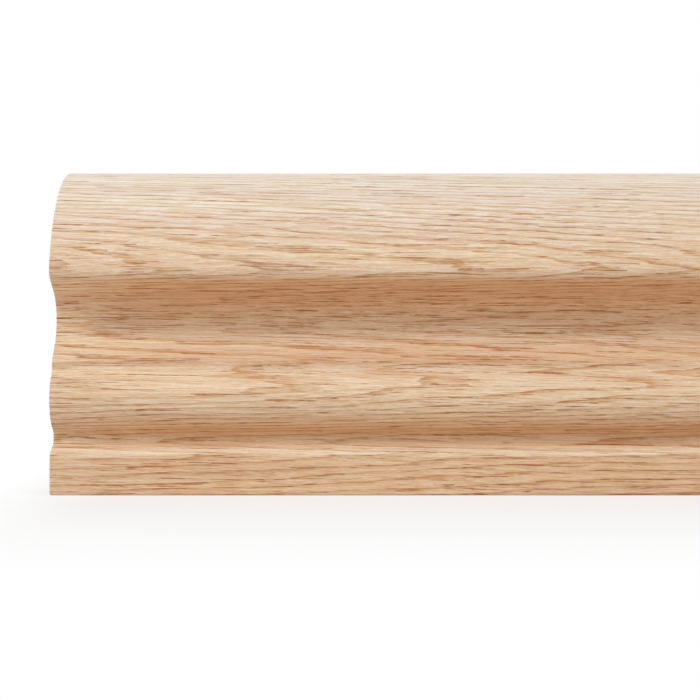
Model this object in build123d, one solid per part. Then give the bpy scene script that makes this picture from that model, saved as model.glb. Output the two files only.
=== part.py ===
# Oak handrail moulding: one length of solid stock, machined all along to one section.
# X runs along the rail, Y across it and +Z up. The rail stands on its flat base, and the origin
# lies on the underside of that base, below the middle of the rail. Sizes are in millimetres.
# The section is a chain of arcs and straights that meet tangent, the same on both sides.
import math
import os

from build123d import *

# Overall sizes.
rail_length = 1200.0
rail_width = 57.5          # over the two noses, the widest part of the rail
rail_height = 70.0         # from the underside to the top of the crown

# Base: a square edge, whose top slopes back and up into the quirk.
base_width = 56.0
base_height = 8.7
arris_radius = 0.4         # the sharp long edges of the base are eased by sanding

# Quirk: the small round groove between base and roll.
quirk_radius = 1.8
quirk_depth = 4.5          # how far its root lies behind the edge of the base
quirk_rise = 3.2           # its centre line above the edge of the base

# Roll: the round bead above the quirk.
roll_radius = 7.1
roll_setback = 0.3         # how far its proudest line lies behind the nose

# Shoulder: a narrow upright band above the roll, with a hollow at its foot.
shoulder_setback = 3.4
shoulder_height = 0.6
shoulder_round = 0.5
hollow_radius = 3.3

# Finger cove, with a splay that leads up into it and an underside that leads out of it.
cove_radius = 6.6
cove_depth = 8.8
splay_angle = 42.0         # degrees from upright
underside_angle = 58.0     # degrees from upright

# Nose: the small round that turns the underside into the crown.
nose_radius = 2.3


def on_circle(centre, radius, angle):
    return (centre[0] + radius * math.cos(angle), centre[1] + radius * math.sin(angle))


def bearing(start, end):
    return math.atan2(end[1] - start[1], end[0] - start[0])


# One side of the section as (y, z) points, worked out from the underside upwards, so that the
# crown takes whatever height is left at the top.
half_width = rail_width / 2
base_foot = (base_width / 2, 0)
base_edge = (base_width / 2, base_height)

# The slope on top of the base is tangent to the quirk.
quirk = (base_edge[0] - quirk_depth + quirk_radius, base_height + quirk_rise)
edge_to_quirk = math.dist(base_edge, quirk)
slope_bearing = bearing(base_edge, quirk) + math.asin(quirk_radius / edge_to_quirk)
slope_length = math.sqrt(edge_to_quirk**2 - quirk_radius**2)
slope_end = on_circle(base_edge, slope_length, slope_bearing)
quirk_root = (quirk[0] - quirk_radius, quirk[1])

# The roll touches the quirk below it and the shoulder's hollow above it.
roll_y = half_width - roll_setback - roll_radius
roll_rise = math.sqrt((roll_radius + quirk_radius) ** 2 - (quirk[0] - roll_y) ** 2)
roll = (roll_y, quirk[1] + roll_rise)
roll_start = on_circle(roll, roll_radius, bearing(roll, quirk))
roll_proud = (roll_y + roll_radius, roll[1])

shoulder_y = half_width - shoulder_setback
hollow_y = shoulder_y + hollow_radius
hollow_rise = math.sqrt((roll_radius + hollow_radius) ** 2 - (hollow_y - roll_y) ** 2)
hollow = (hollow_y, roll[1] + hollow_rise)
roll_end = on_circle(roll, roll_radius, bearing(roll, hollow))
hollow_mid = on_circle(hollow, hollow_radius, (bearing(hollow, roll) - math.pi) / 2)
shoulder_foot = (shoulder_y, hollow[1])
shoulder_top = (shoulder_y, hollow[1] + shoulder_height)

# The splay is tangent to the shoulder's round and to the cove.
splay = math.radians(splay_angle)
shoulder_turn = (shoulder_y - shoulder_round, shoulder_top[1])
shoulder_mid = on_circle(shoulder_turn, shoulder_round, splay / 2)
splay_start = on_circle(shoulder_turn, shoulder_round, splay)
cove_y = half_width - cove_depth + cove_radius
splay_reach = splay_start[0] - (cove_y - cove_radius * math.cos(splay))
splay_end = (splay_start[0] - splay_reach, splay_start[1] + splay_reach / math.tan(splay))
cove = (cove_y, splay_end[1] + cove_radius * math.sin(splay))
cove_root = (cove_y - cove_radius, cove[1])

# The underside is tangent to the cove and to the nose, which reaches the full width.
lean = math.radians(underside_angle)
underside_start = on_circle(cove, cove_radius, math.pi - lean)
nose_y = half_width - nose_radius
underside_reach = nose_y + nose_radius * math.cos(lean) - underside_start[0]
underside_end = (
    underside_start[0] + underside_reach,
    underside_start[1] + underside_reach / math.tan(lean),
)
nose = (nose_y, underside_end[1] + nose_radius * math.sin(lean))

# The crown is one arc over the whole top, centred on the rail and tangent to both noses.
crown_rise = rail_height - nose[1]
crown_radius = (nose_y**2 + crown_rise**2 - nose_radius**2) / (2 * (crown_rise - nose_radius))
crown = (0, rail_height - crown_radius)
crown_top = (0, rail_height)
touch_angle = bearing(crown, nose)
touch = on_circle(crown, crown_radius, touch_angle)
nose_mid = on_circle(nose, nose_radius, (touch_angle - lean) / 2)

with BuildPart() as handrail:
    with BuildSketch(Plane.YZ.offset(-rail_length / 2)) as section:
        with BuildLine():
            Polyline(base_foot, base_edge, slope_end)
            ThreePointArc(slope_end, quirk_root, roll_start)
            ThreePointArc(roll_start, roll_proud, roll_end)
            ThreePointArc(roll_end, hollow_mid, shoulder_foot)
            Line(shoulder_foot, shoulder_top)
            ThreePointArc(shoulder_top, shoulder_mid, splay_start)
            Line(splay_start, splay_end)
            ThreePointArc(splay_end, cove_root, underside_start)
            Line(underside_start, underside_end)
            ThreePointArc(underside_end, nose_mid, touch)
            mirror(about=Plane.YZ)
            ThreePointArc(touch, crown_top, (-touch[0], touch[1]))
            Line((-base_foot[0], base_foot[1]), base_foot)
        make_face()
        arrises = [
            corner
            for corner in section.vertices()
            if min(math.dist((abs(corner.X), corner.Y), edge) for edge in (base_foot, base_edge)) < 0.001
        ]
        fillet(arrises, radius=arris_radius)
    extrude(amount=rail_length)

os.makedirs("parts", exist_ok=True)
export_step(handrail.part, "parts/handrail.step")
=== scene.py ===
# %% [markdown]
# # A length of oak handrail
# The object is one straight length of solid oak, moulded along its whole length to one section and
# sawn square at both ends. A studio photograph shows its side: a broad round crown, a finger cove
# below it, a roll, a small quirk and a flat base. This lesson models that section with the everyday
# mesh tools, gives it a solid oak grain and lights it softly on a white floor.

import math

import bmesh
import bpy
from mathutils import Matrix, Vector


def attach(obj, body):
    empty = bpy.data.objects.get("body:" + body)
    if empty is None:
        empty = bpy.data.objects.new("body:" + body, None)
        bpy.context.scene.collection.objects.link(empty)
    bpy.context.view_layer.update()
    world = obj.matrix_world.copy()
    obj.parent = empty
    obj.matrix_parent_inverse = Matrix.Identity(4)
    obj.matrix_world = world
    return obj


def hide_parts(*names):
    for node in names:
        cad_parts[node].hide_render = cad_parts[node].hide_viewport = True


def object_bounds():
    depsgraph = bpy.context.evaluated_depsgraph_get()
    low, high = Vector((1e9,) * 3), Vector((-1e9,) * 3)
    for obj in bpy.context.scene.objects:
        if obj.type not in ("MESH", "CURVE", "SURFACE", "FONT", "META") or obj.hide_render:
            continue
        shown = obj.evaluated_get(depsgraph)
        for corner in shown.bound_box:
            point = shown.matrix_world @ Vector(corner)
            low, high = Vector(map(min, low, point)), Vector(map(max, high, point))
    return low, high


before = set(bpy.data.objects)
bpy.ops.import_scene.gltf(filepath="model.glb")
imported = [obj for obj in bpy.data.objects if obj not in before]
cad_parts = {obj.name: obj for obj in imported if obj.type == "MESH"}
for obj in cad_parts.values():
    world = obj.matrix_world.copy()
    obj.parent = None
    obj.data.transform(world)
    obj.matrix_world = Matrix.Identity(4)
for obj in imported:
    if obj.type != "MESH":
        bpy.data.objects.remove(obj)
cad_low, cad_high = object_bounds()
MM = 0.001                # one millimetre in Blender's metres
SAME = 0.001 * MM         # points that are closer than this are one point
end_x, far_x = cad_low.x, cad_high.x
print("the rail is", round((far_x - end_x) / MM), "mm long")

# %% [markdown]
# ## The section
# A moulding machine cuts the whole section in one pass, with knives ground to arcs and straights that
# run into each other without a corner. A curve object with a bevel could draw it, but the points of a
# mesh are easier to place exactly. So the section is walked as a chain from the middle of the underside
# up to the top of the crown: a straight is an extruded vertex, and an arc is a vertex spun about its
# centre. Only one side is walked, because a mirror gives the other.

# %% Helpers for walking the section
def choose(kind, wanted):
    """In edit mode, selects just the vertices, edges or faces for which wanted is true."""
    bpy.ops.mesh.select_mode(type=kind)
    bpy.ops.mesh.select_all(action="DESELECT")
    shape = bmesh.from_edit_mesh(bpy.context.edit_object.data)
    elements = {"VERT": shape.verts, "EDGE": shape.edges, "FACE": shape.faces}[kind]
    chosen = [item for item in elements if wanted(item)]
    for item in chosen:
        item.select_set(True)
    bmesh.update_edit_mesh(bpy.context.edit_object.data)
    return len(chosen)


def loose_end():
    """The selected vertex at the end of the chain, as (y, z) in millimetres."""
    shape = bmesh.from_edit_mesh(bpy.context.edit_object.data)
    at = next(v.co for v in shape.verts if v.select)
    return at.y / MM, at.z / MM


def straight_to(y, z):
    """Extrudes the loose end in a straight line to a new point."""
    from_y, from_z = loose_end()
    move = (0, (y - from_y) * MM, (z - from_z) * MM)
    bpy.ops.mesh.extrude_region_move(TRANSFORM_OT_translate={"value": move})


def arc_about(y, z, turn, steps):
    """Spins the loose end about a centre; a positive turn goes from +Y towards +Z, in degrees."""
    centre = (end_x, y * MM, z * MM)
    bpy.ops.mesh.spin(steps=steps, angle=math.radians(-turn), center=centre, axis=(1, 0, 0))


# %% Walk one side of the section
base_side, base_top = 28.0, 8.7                   # half the base's width and the height of its edge
bpy.ops.object.select_all(action="DESELECT")
bpy.ops.mesh.primitive_plane_add(size=0.01, calc_uvs=False, location=(0, 0, 0))
rail = bpy.context.object
rail.name = rail.data.name = "oak_rail"
bpy.ops.object.mode_set(mode="EDIT")
bpy.ops.mesh.select_all(action="SELECT")
bpy.ops.mesh.merge(type="CENTER")                 # the plane becomes the first point of the walk
bpy.ops.transform.translate(value=(end_x, 0, 0))

straight_to(base_side, 0.0)                       # the flat underside
straight_to(base_side, base_top)                  # the edge of the base
straight_to(24.5569, 10.2605)                     # the slope on top of the base
arc_about(25.3, 11.9, -129.262, steps=30)         # the quirk
arc_about(21.35, 19.8754, 109.068, steps=48)      # the roll
arc_about(28.65, 27.2829, -45.4186, steps=16)     # the hollow at the shoulder's foot
straight_to(25.35, 27.8829)                       # the shoulder
arc_about(24.85, 27.8829, 42.0, steps=8)          # its rounded top
straight_to(21.6452, 32.1893)                     # the splay into the cove
arc_about(26.55, 36.6056, -100.0, steps=40)       # the finger cove
straight_to(27.6688, 45.0873)                     # the underside of the nose
arc_about(26.45, 47.0378, 72.0076, steps=20)      # the nose
arc_about(0.0, 40.4394, 75.9924, steps=64)        # the crown, up to the middle of the rail
print("the walk ends at y, z =", [round(value, 3) for value in loose_end()])

# %% Ease the two arrises of the base
arris_round = 0.4 * MM
for corner_z in (0.0, base_top):
    corner = (base_side, corner_z)
    found = choose("VERT", lambda v: math.dist((v.co.y / MM, v.co.z / MM), corner) < 0.01)
    bpy.ops.mesh.bevel(
        offset=arris_round, offset_type="OFFSET", segments=6, affect="VERTICES", clamp_overlap=False
    )
    print("eased", found, "corner at height", corner_z)
bpy.ops.object.mode_set(mode="OBJECT")
print(len(rail.data.vertices), "points on one side")

# %% Mirror the side
mirror = rail.modifiers.new("other side", "MIRROR")
mirror.use_axis = (False, True, False)
mirror.use_clip = True
mirror.merge_threshold = 2 * SAME
bpy.ops.object.modifier_apply(modifier=mirror.name)
print(len(rail.data.vertices), "points and", len(rail.data.edges), "edges round the section")

# %% [markdown]
# ## The length of stock
# The closed section is filled with one face and pulled along X to the far end. The saw leaves sharp
# edges round both ends, and a stroke of sandpaper takes them off, so those two outlines get a fine
# bevel. Everything else in the section is already smooth, because its arcs meet without corners.

# %% Fill the section and pull it to length
bpy.ops.object.mode_set(mode="EDIT")
bpy.ops.mesh.select_all(action="SELECT")
bpy.ops.mesh.edge_face_add()
bpy.ops.mesh.extrude_region_move(TRANSFORM_OT_translate={"value": (far_x - end_x, 0, 0)})
bpy.ops.mesh.select_all(action="SELECT")
bpy.ops.mesh.remove_doubles(threshold=SAME)
bpy.ops.mesh.normals_make_consistent(inside=False)
print(len(bmesh.from_edit_mesh(rail.data).verts), "points after the pull")

# %% Ease the rims of the sawn ends
rim_round = 0.3 * MM
smooth_below = math.radians(40)


def in_one_end(edge):
    """Whether both points of an edge lie in the plane of the same sawn end."""
    return any(all(abs(v.co.x - x) < SAME for v in edge.verts) for x in (end_x, far_x))


def is_sawn(face):
    """Whether a face is a sawn end: only those two have more than four corners."""
    return len(face.verts) > 4


rims = choose("EDGE", in_one_end)
bpy.ops.mesh.bevel(
    offset=rim_round, offset_type="OFFSET", segments=3, affect="EDGES", clamp_overlap=False
)
caps = choose("FACE", is_sawn)
bpy.ops.mesh.region_to_loop()
bpy.ops.mesh.mark_sharp()
bpy.ops.object.mode_set(mode="OBJECT")
bpy.ops.object.shade_smooth_by_angle(angle=smooth_below)
print(rims, "rim edges eased and", caps, "sawn faces")

# %% Measure the solid
shape = bmesh.new()
shape.from_mesh(rail.data)
volume = round(shape.calc_volume() / MM**3)
open_edges = sum(not edge.is_manifold for edge in shape.edges)
print("volume", volume, "mm3,", open_edges, "open edges,", len(shape.faces), "faces")
shape.free()

# %% Hang the piece in the frame
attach(rail, "root")
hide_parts("handrail")
print(rail.name, "rides on the root and stands for the CAD handrail")

# %% [markdown]
# ## A flat map of the surface
# The finish is made of nodes, and a model that leaves Blender carries it as a picture, so the surface
# needs a flat map. A smart projection would cut the mouldings into slivers. Unrolled like a strip of
# veneer they have one seam, hidden under the base, and a strip can be pressed together lengthwise to
# fill the picture, since grain changes slowly that way. Following one active face unrolls it, and the
# sawn ends lie above the strip.

# %% Unroll the sides
def under_the_middle(edge):
    """Whether an edge runs along the middle of the underside, with the eased rims at its ends."""
    return all(abs(v.co.y) < 0.01 * MM and v.co.z < 0.35 * MM for v in edge.verts)


bpy.ops.object.mode_set(mode="EDIT")
seam = choose("EDGE", under_the_middle)
bpy.ops.mesh.mark_seam(clear=False)
shape = bmesh.from_edit_mesh(rail.data)
flat_map = shape.loops.layers.uv.new("OFBake")
sides = choose("FACE", lambda f: not is_sawn(f))
first = max((f for f in shape.faces if f.select), key=lambda f: f.calc_area())
for loop in first.loops:
    loop[flat_map].uv = (loop.vert.co.x, loop.vert.co.y)
shape.faces.active = first
bmesh.update_edit_mesh(rail.data)
bpy.ops.uv.select_all(action="SELECT")
bpy.ops.uv.follow_active_quads(mode="LENGTH_AVERAGE")
print(sides, "faces unrolled from", seam, "seam edges")

# %% Fit the strip into the map
strip_height, margin = 0.80, 0.004
shape = bmesh.from_edit_mesh(rail.data)
flat_map = shape.loops.layers.uv["OFBake"]
rolled = [loop[flat_map] for face in shape.faces if not is_sawn(face) for loop in face.loops]
left, right = (pick(spot.uv.x for spot in rolled) for pick in (min, max))
bottom, top = (pick(spot.uv.y for spot in rolled) for pick in (min, max))
for spot in rolled:
    along = (spot.uv.x - left) / (right - left)
    round_it = (spot.uv.y - bottom) / (top - bottom)
    spot.uv = (margin + along * (1 - 2 * margin), margin + round_it * (strip_height - 2 * margin))
strip_size = [round((top - bottom) / MM, 1), round((right - left) / MM, 1)]
print("the strip is", strip_size[0], "mm round and", strip_size[1], "mm long")

# %% Lay the sawn ends above the strip
end_scale = (1 - strip_height - 2 * margin) / cad_high.z
end_foot = strip_height + margin
for face in filter(is_sawn, shape.faces):
    end_middle = 0.25 if face.normal.x < 0 else 0.75
    for loop in face.loops:
        at = loop.vert.co
        loop[flat_map].uv = (end_middle + at.y * end_scale, end_foot + at.z * end_scale)
bmesh.update_edit_mesh(rail.data)
bpy.ops.object.mode_set(mode="OBJECT")
print("the map is called", rail.data.uv_layers.active.name)

# %% [markdown]
# ## Oak as a solid
# Oak isn't printed on a surface: growth rings, pores and rays run through the whole stock, and the
# knives only decide where they are cut open. So the figure is built in space, from Object coordinates,
# and one set of rings gives long dashes on the crown, pointed arches on the roll and curved lines of
# dots on a sawn end. Each effect is a node group, so that both finishes below can share it.

# %% Helpers for wiring nodes
def feed(tree, node, inputs):
    """Sets a node's inputs; each is a plain value or another node's output."""
    for name, value in inputs.items():
        if isinstance(value, bpy.types.NodeSocket):
            tree.links.new(value, node.inputs[name])
        else:
            node.inputs[name].default_value = value


def put(tree, kind, options, inputs):
    """Adds a node with its options and inputs."""
    node = tree.nodes.new("ShaderNode" + kind)
    for name, value in options.items():
        setattr(node, name, value)
    feed(tree, node, inputs)
    return node


def calc(tree, operation, *values):
    """A Math node's result."""
    return put(tree, "Math", {"operation": operation}, dict(enumerate(values))).outputs[0]


def vector_calc(tree, operation, first, second):
    """A Vector Math node's result, for two vectors."""
    node = put(tree, "VectorMath", {"operation": operation}, {0: first, 1: second})
    return node.outputs["Vector"]


# %% Helpers for masks, colours and noise
def step(tree, value, start, end, low=0.0, high=1.0):
    """A smooth step of value, from low at start to high at end."""
    limits = {"From Min": start, "From Max": end, "To Min": low, "To Max": high}
    smooth = {"interpolation_type": "SMOOTHSTEP"}
    return put(tree, "MapRange", smooth, {"Value": value, **limits}).outputs["Result"]


def band(tree, value, rise, fall, peak=1.0):
    """A mask that rises to its peak between the two values of rise, and is gone after those of fall."""
    rising = step(tree, value, *rise, 0.0, peak)
    return calc(tree, "MULTIPLY", rising, step(tree, value, *fall, 1.0, 0.0))


def blend(tree, factor, first, second, way="MIX"):
    """A Mix node for two colours."""
    options = {"data_type": "RGBA", "blend_type": way}
    return put(tree, "Mix", options, {0: factor, 6: first, 7: second}).outputs[2]


def stretched(tree, vector, along, across):
    """Grain space divided by a length along the fibres and one across them, in millimetres."""
    return vector_calc(tree, "MULTIPLY", vector, (1 / along, 1 / across, 1 / across))


def noise(tree, vector, detail=1.0, roughness=0.5):
    """A Noise node in a space that already has the right scale."""
    inputs = {"Vector": vector, "Scale": 1.0, "Detail": detail, "Roughness": roughness}
    return put(tree, "TexNoise", {}, inputs)


# %% Helpers for node groups
def new_group(name, inputs, outputs):
    """An empty node group; each socket is a name with its kind."""
    group = bpy.data.node_groups.new(name, "ShaderNodeTree")
    for direction, sockets in (("INPUT", inputs), ("OUTPUT", outputs)):
        for title, kind in sockets.items():
            group.interface.new_socket(name=title, in_out=direction, socket_type="NodeSocket" + kind)
    start, end = group.nodes.new("NodeGroupInput"), group.nodes.new("NodeGroupOutput")
    return group, start.outputs, end.inputs


def use(tree, group, inputs):
    """Places a group in a material."""
    node = tree.nodes.new("ShaderNodeGroup")
    node.node_tree = group
    feed(tree, node, inputs)
    return node.outputs


# %% [markdown]
# ### Grain space
# The board wasn't sawn quite parallel to the trunk, so the fibres come out of the front face at a slant
# of about one in twenty-two. That slant is why the pores show as dashes and why the arches point the
# same way. Fibres also wander a little. This group turns Object coordinates into a space in millimetres
# whose first axis runs with the fibres, the second from the front of the rail to its back and the third
# upwards.

# %% The group for grain space
fibre_lean = (0.045, 0.010)      # how far the fibres come forwards and sink for each millimetre of length
lean_from = -470.0               # the place along the rail from which the lean is counted
wanderings = [                   # a length along the fibres, one across them, and how far they wander
    (120.0, 24.0, 3.0),
    (28.0, 4.0, 0.50),
    (6.0, 0.8, 0.10),
    (1.6, 0.4, 0.05),
]
grain_space, ins, outs = new_group("grain_space", {"Object": "Vector"}, {"Grain": "Vector"})
tree = grain_space
scaled = put(tree, "VectorMath", {"operation": "SCALE"}, {0: ins["Object"], "Scale": 1 / MM})
millimetres = scaled.outputs["Vector"]
wander = (0, 0, 0)
for along, across, reach in wanderings:
    drift = noise(tree, stretched(tree, millimetres, along, across)).outputs["Color"]
    drift = vector_calc(tree, "SUBTRACT", drift, (0.5, 0.5, 0.5))
    drift = vector_calc(tree, "MULTIPLY", drift, (0, reach, reach))
    wander = vector_calc(tree, "ADD", wander, drift)
placed = vector_calc(tree, "ADD", millimetres, wander)
part = put(tree, "SeparateXYZ", {}, {0: placed}).outputs
length = calc(tree, "SUBTRACT", part["X"], lean_from)
depth_in = calc(tree, "MULTIPLY_ADD", length, fibre_lean[0], part["Y"])
upright = calc(tree, "MULTIPLY_ADD", length, fibre_lean[1], part["Z"])
joined = put(tree, "CombineXYZ", {}, {"X": part["X"], "Y": depth_in, "Z": upright})
tree.links.new(joined.outputs[0], outs["Grain"])
print("grain space leans", round(math.degrees(math.atan(fibre_lean[0])), 1), "degrees")

# %% [markdown]
# ### Growth rings
# Each year starts with a band of wide pores, the earlywood, and ends in dense latewood. The heart of the
# tree lay in front of this rail, so the rings are large circles about a point outside it, and they cut
# the round nose and roll in arches. A wave texture has rings too, but all of one width. Here the distance
# from the heart is counted in years, with noise that makes them uneven. The group gives the earlywood,
# the thin dark line at its start, which is broken here and there, and a tone that is different for every
# year.

# %% The group for growth rings
heart = (-74.0, 48.8)        # where the heart of the tree lies in grain space, in millimetres
ring_width = 1.15            # how much a year adds, in millimetres
ring_unevenness = 1.6        # how far the noise moves a ring, in years
year_opens = (0.0, 0.05)     # the part of a year over which its wide pores begin
growth_rings, ins, outs = new_group(
    "growth_rings", {"Grain": "Vector"}, {"Earlywood": "Float", "Line": "Float", "Year": "Float"}
)
tree = growth_rings
part = put(tree, "SeparateXYZ", {}, {0: ins["Grain"]}).outputs
behind = calc(tree, "SUBTRACT", part["Y"], heart[0])
above = calc(tree, "SUBTRACT", part["Z"], heart[1])
from_heart = put(tree, "CombineXYZ", {}, {"X": behind, "Y": above}).outputs[0]
radius = put(tree, "VectorMath", {"operation": "LENGTH"}, {0: from_heart}).outputs["Value"]
uneven = noise(tree, stretched(tree, ins["Grain"], 45.0, 3.0), detail=3.0, roughness=0.55).outputs[0]
even_years = calc(tree, "DIVIDE", radius, ring_width)
years = calc(tree, "MULTIPLY_ADD", uneven, ring_unevenness, even_years)
season = calc(tree, "FRACT", years)
tree.links.new(band(tree, season, year_opens, (0.18, 0.50)), outs["Earlywood"])
broken = noise(tree, stretched(tree, ins["Grain"], 7.0, 0.6)).outputs[0]
line = band(tree, season, year_opens, (0.06, 0.24))
tree.links.new(calc(tree, "MULTIPLY", line, step(tree, broken, 0.35, 0.62, 0.15, 1.0)), outs["Line"])
lottery = put(tree, "TexWhiteNoise", {"noise_dimensions": "1D"}, {"W": calc(tree, "FLOOR", years)})
tree.links.new(lottery.outputs["Value"], outs["Year"])
print("about", round((cad_high.y - cad_low.y) / MM / ring_width), "rings across the rail")

# %% [markdown]
# ### Open pores
# A pore is a fine tube along the fibres. In stretched space a Voronoi texture scatters points, and the
# distance to the nearest one is small along a long thin cell, so a threshold gives tubes. Noise swells
# and narrows them and fills some with dust. Where the knives cut a tube at a slant it shows as a dash,
# and on a sawn end as a dot. Tubes that are oval, deeper than they are tall, give longer dashes.

# %% The group for open pores
flatness = 0.42              # how tall a tube is for its depth
open_pores, ins, outs = new_group(
    "open_pores",
    {"Grain": "Vector", "Along": "Float", "Across": "Float", "Bore": "Float", "Crowding": "Float"},
    {"Pore": "Float", "Tube": "Float"},
)
tree = open_pores
shrink = {
    "X": calc(tree, "DIVIDE", 1.0, ins["Along"]),
    "Y": calc(tree, "DIVIDE", flatness, ins["Across"]),
    "Z": calc(tree, "DIVIDE", 1.0, ins["Across"]),
}
cells = vector_calc(tree, "MULTIPLY", ins["Grain"], put(tree, "CombineXYZ", {}, shrink).outputs[0])
nearest = {"Vector": cells, "Scale": 1.0, "Randomness": 1.0}
scatter = put(tree, "TexVoronoi", {"feature": "F1"}, nearest).outputs
chance = put(tree, "SeparateColor", {}, {0: scatter["Color"]}).outputs
knots = noise(tree, stretched(tree, ins["Grain"], 2.4, 0.5)).outputs[0]
swelling = calc(tree, "MULTIPLY_ADD", knots, 0.9, 0.1)
width = calc(tree, "MULTIPLY_ADD", chance["Red"], 0.6, swelling)
bore = calc(tree, "MULTIPLY", ins["Bore"], width)
tube = calc(tree, "DIVIDE", scatter["Distance"], bore)
present = calc(tree, "LESS_THAN", chance["Green"], ins["Crowding"])
hole = calc(tree, "MULTIPLY", step(tree, tube, 0.82, 1.04, 1.0, 0.0), present)
filled = noise(tree, stretched(tree, ins["Grain"], 2.6, 0.5)).outputs[0]
hole = calc(tree, "MULTIPLY", hole, step(tree, filled, 0.35, 0.62, 0.35, 1.0))
tree.links.new(hole, outs["Pore"])
tree.links.new(chance["Blue"], outs["Tube"])
print("a pore is", round(1 / flatness, 1), "times as deep as it is tall")

# %% [markdown]
# ### Fibres, tint and rays
# Between the pores the wood is a mass of fine fibres in slightly different tones, with small specks
# where the knives tore them, and whole bands of it are more straw or more pink. All of that is noise,
# stretched by different amounts. Rays are thin sheets that run from the heart outwards, which show on a
# sawn end as pale lines across the rings.

# %% The groups for fibres and rays
fine_fibres, ins, outs = new_group(
    "fine_fibres", {"Grain": "Vector"}, {"Fibre": "Float", "Speck": "Float", "Tint": "Float"}
)
tree = fine_fibres
hair = noise(tree, stretched(tree, ins["Grain"], 26.0, 0.22), detail=2.0, roughness=0.6).outputs[0]
strand = noise(tree, stretched(tree, ins["Grain"], 120.0, 0.45)).outputs[0]
fibre = calc(tree, "MULTIPLY_ADD", hair, 0.65, calc(tree, "MULTIPLY", strand, 0.35))
tree.links.new(fibre, outs["Fibre"])
crumb = noise(tree, stretched(tree, ins["Grain"], 1.3, 0.24), detail=2.0, roughness=0.6).outputs[0]
tree.links.new(step(tree, crumb, 0.36, 0.64), outs["Speck"])
tint = noise(tree, stretched(tree, ins["Grain"], 190.0, 6.5), detail=1.5).outputs[0]
tree.links.new(tint, outs["Tint"])

sheet_size = (14.0, 26.0, 0.95)      # along the fibres, away from the heart, and upwards, in millimetres
wood_rays, ins, outs = new_group("wood_rays", {"Grain": "Vector"}, {"Ray": "Float"})
tree = wood_rays
sheets = vector_calc(tree, "MULTIPLY", ins["Grain"], tuple(1 / size for size in sheet_size))
nearest = {"Vector": sheets, "Scale": 1.0, "Randomness": 1.0}
scatter = put(tree, "TexVoronoi", {"feature": "F1"}, nearest).outputs
tree.links.new(step(tree, scatter["Distance"], 0.12, 0.24, 1.0, 0.0), outs["Ray"])
print(len(bpy.data.node_groups), "groups for oak")

# %% [markdown]
# ## The moulded finish
# The sides are machined and sanded and otherwise bare, so they are nearly matt and the pores stay open.
# Shade and light are painted into the colour over the section. Painted shade makes it deeper and richer
# in the hollows, under the nose and the roll and on the base, and a painted highlight and sheen make it
# pale on the crown and on the top edge of the base. Towards the sawn ends the painted shade in the
# hollows is lighter again, as painted light that comes in past the end. Masks from the height of each
# point and its distance from the nearer end do that, and so they are the same on both sides. One more
# mask marks the root of the cove, where the rings hardly show and the pores are spread evenly.

# %% The group for painted shade and highlight
painted_shading, ins, outs = new_group(
    "painted_shading", {"Object": "Vector"}, {"PaintedShade": "Float", "PaintedHighlight": "Float", "Hollow": "Float"}
)
tree = painted_shading
part = put(tree, "SeparateXYZ", {}, {0: ins["Object"]}).outputs
height = calc(tree, "DIVIDE", part["Z"], MM)
# Painted shade: darker on the base, in the quirk under the roll, at the shoulder's foot and in the cove
# under the nose
base = step(tree, height, 7.6, 8.6, 0.48, 0.0)
groove_foot = step(tree, height, 9.2, 10.8, 0.0, 0.45)
groove_root = step(tree, height, 11.7, 12.5, 0.0, 0.45)
groove = calc(tree, "ADD", groove_foot, groove_root)
quirk = calc(tree, "MULTIPLY", groove, step(tree, height, 12.9, 18.5, 1.0, 0.0))
shoulder = band(tree, height, (25.8, 27.6), (29.0, 33.0), 0.42)
cove = band(tree, height, (31.0, 42.0), (44.0, 46.6))
lower = calc(tree, "MAXIMUM", quirk, base)
upper = calc(tree, "MAXIMUM", cove, shoulder)
painted_shade = calc(tree, "MAXIMUM", upper, lower)
# The painted shade is lighter within 24 mm of each sawn end, as painted light that comes in past the end
from_middle = calc(tree, "ABSOLUTE", part["X"])
from_end = calc(tree, "DIVIDE", calc(tree, "SUBTRACT", far_x, from_middle), MM)
tree.links.new(calc(tree, "MULTIPLY", painted_shade, step(tree, from_end, 0.0, 24.0, 0.45, 1.0)), outs["PaintedShade"])
# Painted highlight and sheen: paler on the top edge of the base and on the crown
base_edge_highlight = band(tree, height, (8.2, 8.8), (9.4, 10.2), 0.25)
tree.links.new(calc(tree, "MAXIMUM", step(tree, height, 46.0, 70.0), base_edge_highlight), outs["PaintedHighlight"])
tree.links.new(band(tree, height, (31.0, 34.0), (41.0, 44.0)), outs["Hollow"])
print("the depth of colour follows a height of up to", round(cad_high.z / MM), "mm")

# %% Helpers for both finishes
def new_oak(name):
    """A material on the rail with the groups that both finishes share."""
    material = bpy.data.materials.new(name)
    material.use_nodes = True
    rail.data.materials.append(material)
    tree = material.node_tree
    place = put(tree, "TexCoord", {}, {}).outputs["Object"]
    grain = use(tree, grain_space, {"Object": place})["Grain"]
    rings = use(tree, growth_rings, {"Grain": grain})
    fibres = use(tree, fine_fibres, {"Grain": grain})
    return tree, place, grain, rings, fibres


def toned(tree, colour, mask, low, high):
    """A colour multiplied by a tone, which goes from low to high with a mask."""
    return blend(tree, 1.0, colour, blend(tree, mask, low, high), "MULTIPLY")


def tinted(tree, colour, mask, tint):
    """A colour multiplied by a tint, as far as a mask lets it."""
    return blend(tree, mask, colour, blend(tree, 1.0, colour, tint, "MULTIPLY"))


def finish_surface(tree, colour, roughness, relief, strength, depth):
    """Joins colour, roughness and relief to the shader."""
    shader = tree.nodes["Principled BSDF"].inputs
    tree.links.new(colour, shader["Base Color"])
    tree.links.new(roughness, shader["Roughness"])
    bump = put(tree, "Bump", {}, {"Strength": strength, "Distance": depth, "Height": relief})
    tree.links.new(bump.outputs[0], shader["Normal"])


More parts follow.
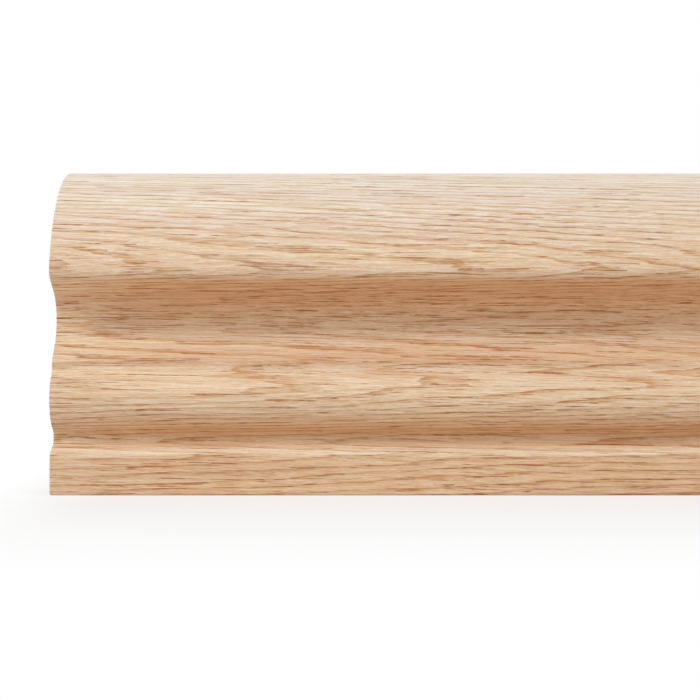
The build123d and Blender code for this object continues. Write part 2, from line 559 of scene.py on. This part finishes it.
# %% Long grain: where its pores and flecks lie
pore_size = {"Along": 80.0, "Across": 0.20, "Bore": 0.47}
fleck_size = {"Along": 7.0, "Across": 0.19, "Bore": 0.46}
tree, place, grain, rings, fibres = new_oak("oak_long_grain")
tones = use(tree, painted_shading, {"Object": place})
# Fewer pores under the painted highlight, so that the crown reads paler
thinned = calc(tree, "MULTIPLY_ADD", tones["PaintedHighlight"], -0.6, 1.0)
clear = calc(tree, "MULTIPLY_ADD", tones["Hollow"], -0.6, 1.0)
earlywood = calc(tree, "MULTIPLY", rings["Earlywood"], clear)
spread = calc(tree, "MULTIPLY_ADD", tones["Hollow"], 0.34, 0.20)
crowd = calc(tree, "MULTIPLY", calc(tree, "MULTIPLY_ADD", earlywood, 0.85, spread), thinned)
pores = use(tree, open_pores, {"Grain": grain, "Crowding": crowd, **pore_size})
spread = calc(tree, "MULTIPLY_ADD", tones["Hollow"], 0.35, 0.50)
crowd = calc(tree, "MULTIPLY_ADD", earlywood, 0.50, spread)
flecks = use(tree, open_pores, {"Grain": grain, "Crowding": crowd, **fleck_size})
print("pores lie", pore_size["Across"], "mm apart and flecks", fleck_size["Across"], "mm")

# %% Long grain: its colours
straw, blush = (0.815, 0.625, 0.427, 1), (0.768, 0.561, 0.391, 1)    # the ground in two tints
shaded, lit = (0.90, 0.81, 0.69, 1), (1.05, 1.12, 1.20, 1)           # tones of the fibres
dull, bright = (0.96, 0.94, 0.91, 1), (1.03, 1.05, 1.08, 1)          # tones of the specks
amber, mauve = (0.54, 0.25, 0.075, 1), (0.47, 0.25, 0.13, 1)         # earlywood
gold = (0.58, 0.30, 0.10, 1)                                         # short flecks
brown, umber = (0.40, 0.12, 0.018, 1), (0.31, 0.09, 0.018, 1)        # pores
# The first tint is painted shade for the hollows and the base, the second a painted highlight and sheen
# for the crown
painted_shade_tint, painted_highlight_tint = (0.88, 0.68, 0.52, 1), (1.02, 1.21, 1.50, 1)       # tints of hollows and crown
ground = blend(tree, step(tree, fibres["Tint"], 0.35, 0.65), straw, blush)
ground = blend(tree, calc(tree, "MULTIPLY", rings["Year"], 0.25), ground, blush)
ground = toned(tree, ground, step(tree, fibres["Fibre"], 0.34, 0.66), shaded, lit)
ground = toned(tree, ground, fibres["Speck"], dull, bright)
early = blend(tree, step(tree, rings["Year"], 0.55, 0.75), amber, mauve)
ground = blend(tree, calc(tree, "MULTIPLY", earlywood, 0.18), ground, early)
line = calc(tree, "MULTIPLY", rings["Line"], clear)
ground = blend(tree, calc(tree, "MULTIPLY", line, 0.70), ground, early)
fleck = calc(tree, "MULTIPLY", flecks["Pore"], calc(tree, "MULTIPLY", flecks["Tube"], 0.9))
ground = blend(tree, fleck, ground, gold)
darkness = calc(tree, "MULTIPLY_ADD", pores["Tube"], 0.45, 0.68)
stain = blend(tree, step(tree, pores["Tube"], 0.70, 0.90), brown, umber)
colour = blend(tree, calc(tree, "MULTIPLY", pores["Pore"], darkness), ground, stain)
# Painted shade in the hollows, then the painted highlight on the crown
colour = tinted(tree, colour, tones["PaintedShade"], painted_shade_tint)
colour = tinted(tree, colour, tones["PaintedHighlight"], painted_highlight_tint)
print("the long grain has", len(tree.nodes), "nodes so far")

# %% Long grain: its gloss and relief
sanded, in_pores = 0.80, 0.12        # the roughness of sanded oak, and what a pore adds to it
roughness = calc(tree, "MULTIPLY_ADD", pores["Pore"], in_pores, sanded)
sunk = calc(tree, "MULTIPLY", pores["Pore"], -1.0)
relief = calc(tree, "MULTIPLY_ADD", fibres["Fibre"], 0.15, sunk)
finish_surface(tree, colour, roughness, relief, strength=0.6, depth=0.06 * MM)
print(rail.material_slots[0].material.name, "is on the sides")

# %% [markdown]
# ## The sawn ends
# The ends are as the saw left them. Cut across, the fibres drink the light, so the same oak looks darker
# and dull there, the pores are dots in rows along the rings, the rays are pale lines that cross the
# rings, and the teeth leave fine upright scratches. The groups above give the oak, with other values,
# and noise that is stretched upwards gives the scratches.

# %% End grain: its colours
end_pale, end_dark = (0.52, 0.345, 0.20, 1), (0.33, 0.175, 0.08, 1)
end_pore, end_ray = (0.17, 0.08, 0.035, 1), (0.60, 0.43, 0.27, 1)
dot_size = {"Along": 40.0, "Across": 0.32, "Bore": 0.42}
tree, place, grain, rings, fibres = new_oak("oak_sawn_end")
rays = use(tree, wood_rays, {"Grain": grain})
crowd = calc(tree, "MULTIPLY_ADD", rings["Earlywood"], 0.85, 0.10)
pores = use(tree, open_pores, {"Grain": grain, "Crowding": crowd, **dot_size})
year_tone = calc(tree, "MULTIPLY", rings["Year"], 0.3)
ring_tone = calc(tree, "MULTIPLY_ADD", rings["Earlywood"], 0.55, year_tone)
ground = blend(tree, ring_tone, end_pale, end_dark)
ground = blend(tree, step(tree, fibres["Tint"], 0.35, 0.65, 0.0, 0.25), ground, end_dark)
ground = blend(tree, calc(tree, "MULTIPLY", rays["Ray"], 0.6), ground, end_ray)
colour = blend(tree, pores["Pore"], ground, end_pore)
print("the end grain has", len(tree.nodes), "nodes so far")

# %% End grain: the marks of the saw
scratch_dark, scratch_pale = (0.86, 0.85, 0.84, 1), (1.08, 1.08, 1.08, 1)
saw_lean = (0.12, 0, 0)              # the saw stood a little askew
saw_pitch = (1.0, 1800.0, 22.0)      # scratches are narrow across the rail and long upwards
lines = {"Vector": place, "Rotation": saw_lean, "Scale": saw_pitch}
teeth = put(tree, "Mapping", {"vector_type": "POINT"}, lines).outputs[0]
scratch = noise(tree, teeth, detail=3.0, roughness=0.65).outputs[0]
colour = toned(tree, colour, step(tree, scratch, 0.30, 0.70), scratch_dark, scratch_pale)
roughness = step(tree, scratch, 0.30, 0.70, 0.62, 0.78)
relief = calc(tree, "SUBTRACT", scratch, pores["Pore"])
finish_surface(tree, colour, roughness, relief, strength=0.7, depth=0.10 * MM)
print("the saw leaves about", round(saw_pitch[1] * MM, 1), "scratches to a millimetre")

# %% Give the sawn faces their finish
bpy.ops.object.select_all(action="DESELECT")
rail.select_set(True)
bpy.context.view_layer.objects.active = rail
bpy.ops.object.mode_set(mode="EDIT")
caps = choose("FACE", is_sawn)
rail.active_material_index = 1
bpy.ops.object.material_slot_assign()
bpy.ops.object.mode_set(mode="OBJECT")
print(caps, "sawn faces have", rail.material_slots[1].material.name)

# %% [markdown]
# ## The floor
# The rail stands on white paper, and only a soft grey strip of shadow shows along the base. A floor that
# only takes light would go grey towards the horizon. So away from the rail the paper shows plain white to
# the camera and to mirror reflections. Near the rail it is ordinary paper that takes the shadow, with
# plain white painted half over it, which paints that shadow paler, and from a little inside the sawn ends
# the plain white soon paints the shadow out. Light that bounces off the floor onto the rail always comes
# from the ordinary paper.

# %% Lay the paper
floor_width = 8
floor_drop = 0.05 * MM               # keeps the paper just clear of the underside
bpy.ops.object.select_all(action="DESELECT")
bpy.ops.mesh.primitive_plane_add(size=floor_width, location=(0, 0, -floor_drop))
floor = bpy.context.object
floor.name = "studio_floor"
bpy.ops.object.transform_apply(location=True, rotation=True, scale=True)
print("the floor is", round(floor.dimensions.x), "m wide")

# %% White paper
paper_white = (0.85, 0.85, 0.84, 1)
end_inset = 16 * MM                  # the shadow fades from a little inside the sawn ends
end_hurry = 4.0                      # and so many times as fast past them as in front of the rail
fade = 0.13                          # the paper is plain white from this far away, in metres
paper = bpy.data.materials.new("white_paper")
paper.use_nodes = True
tree = paper.node_tree
matt = tree.nodes["Principled BSDF"]
matt.inputs["Base Color"].default_value = paper_white
matt.inputs["Specular IOR Level"].default_value = 0.0


def seen_directly(tree):
    """One for rays from the camera and for reflections, and nought for light that bounces."""
    ray = put(tree, "LightPath", {}, {}).outputs
    mirrored = calc(tree, "MAXIMUM", ray["Is Glossy Ray"], ray["Is Transmission Ray"])
    return calc(tree, "MAXIMUM", ray["Is Camera Ray"], mirrored)


def gap_beyond(tree, place, edge):
    """How far a place lies beyond an edge, on either side of the middle, and nought within it."""
    beyond = calc(tree, "SUBTRACT", calc(tree, "ABSOLUTE", place), edge)
    return calc(tree, "MAXIMUM", beyond, 0.0)


part = put(tree, "SeparateXYZ", {}, {0: put(tree, "TexCoord", {}, {}).outputs["Object"]}).outputs
gap_x = calc(tree, "MULTIPLY", gap_beyond(tree, part["X"], far_x - end_inset), end_hurry)
gap_y = gap_beyond(tree, part["Y"], base_side * MM)
squares = [calc(tree, "POWER", gap, 2.0) for gap in (gap_x, gap_y)]
# Half plain white even at the rail, which paints its shadow paler, and soon all plain white past the
# ends, which paints the shadow out
whiteness = step(tree, calc(tree, "SQRT", calc(tree, "ADD", *squares)), 0.0, fade, 0.50, 1.0)
glow = put(tree, "Emission", {}, {"Color": (1, 1, 1, 1), "Strength": 1.0})
shown = calc(tree, "MULTIPLY", whiteness, seen_directly(tree))
mixed = put(tree, "MixShader", {}, {0: shown, 1: matt.outputs[0], 2: glow.outputs[0]})
tree.links.new(mixed.outputs[0], tree.nodes["Material Output"].inputs["Surface"])
floor.data.materials.append(paper)
print("the paper is plain white from", round(fade / MM), "mm in front of the rail")

# %% [markdown]
# ## The light
# The photograph has the soft, even light of a small studio: a wide box to each side, a smaller and harder
# lamp at the left that draws the edges, and a wide box above for the crown. They are aimed at the end
# that is photographed, and light it at about the level at which a colour renders as it is written. Two
# more boxes behind the rail light its back and its far end, for a look from those sides.

# %% Lamps
aim, middle = Vector((-0.53, -0.02, 0.035)), Vector((0, 0, 0.035))


def softbox(name, left, up, distance, size, level, spot=aim):
    """A square lamp that looks at a spot, so many degrees to the camera's left and above the floor."""
    side, rise = math.radians(left), math.radians(up)
    flat = math.cos(rise)
    away = Vector((-math.sin(side) * flat, -math.cos(side) * flat, math.sin(rise)))
    turn = away.to_track_quat("Z", "Y").to_euler()
    bpy.ops.object.light_add(type="AREA", location=spot + away * distance, rotation=turn)
    lamp = bpy.context.object
    lamp.name = name
    lamp.data.size = size
    lamp.data.energy = level * math.pi**2 * distance**2
    return lamp


lamps = [
    softbox("left_box", 70, 20, 1.5, 1.2, 0.585),
    softbox("right_box", -60, 40, 1.5, 1.2, 0.53),
    softbox("key", 50, 45, 1.5, 0.4, 0.25),
    softbox("top_box", 180, 75, 1.3, 1.2, 0.15),
    softbox("back_left", 155, 20, 1.6, 1.2, 0.22, middle),
    softbox("back_right", -130, 20, 1.6, 1.2, 0.36, middle),
]
print("lamps:", {lamp.name: round(lamp.data.energy, 1) for lamp in lamps}, "watts")

# %% [markdown]
# ## The camera
# The photograph looks straight at the side of the rail, level with the cove, from about a third of a
# metre. The crown's outline and the sloping edge of the sawn end fix the place: from there each moulding
# of the end shifts sideways by just as much as its depth. The lens follows from the size of the image.

# %% Camera
viewpoint = (-0.5373, -0.3615, 0.0303)
level_view = (math.radians(90), 0, 0)
focal_px, image_px = 1600, 700
bpy.ops.object.camera_add(location=viewpoint, rotation=level_view)
camera = bpy.context.object
camera.data.sensor_width = 36
camera.data.lens = camera.data.sensor_width * focal_px / image_px
camera.data.clip_start = 0.01
bpy.context.scene.camera = camera
print("lens", round(camera.data.lens, 1), "mm")

# %% [markdown]
# ## The room
# Behind everything is a white room. The camera and reflections see it as plain white, but as a lamp it
# is dim, so that the boxes above shape the mouldings.

# %% World
room_light = 0.10
world = bpy.data.worlds.new("studio")
world.use_nodes = True
tree = world.node_tree
sky = tree.nodes["Background"]
sky.inputs["Color"].default_value = (1, 1, 1, 1)
tree.links.new(step(tree, seen_directly(tree), 0.0, 1.0, room_light, 1.0), sky.inputs["Strength"])
bpy.context.scene.world = world
bpy.context.scene.view_settings.view_transform = "Standard"
print("as a lamp the room has a strength of", room_light)
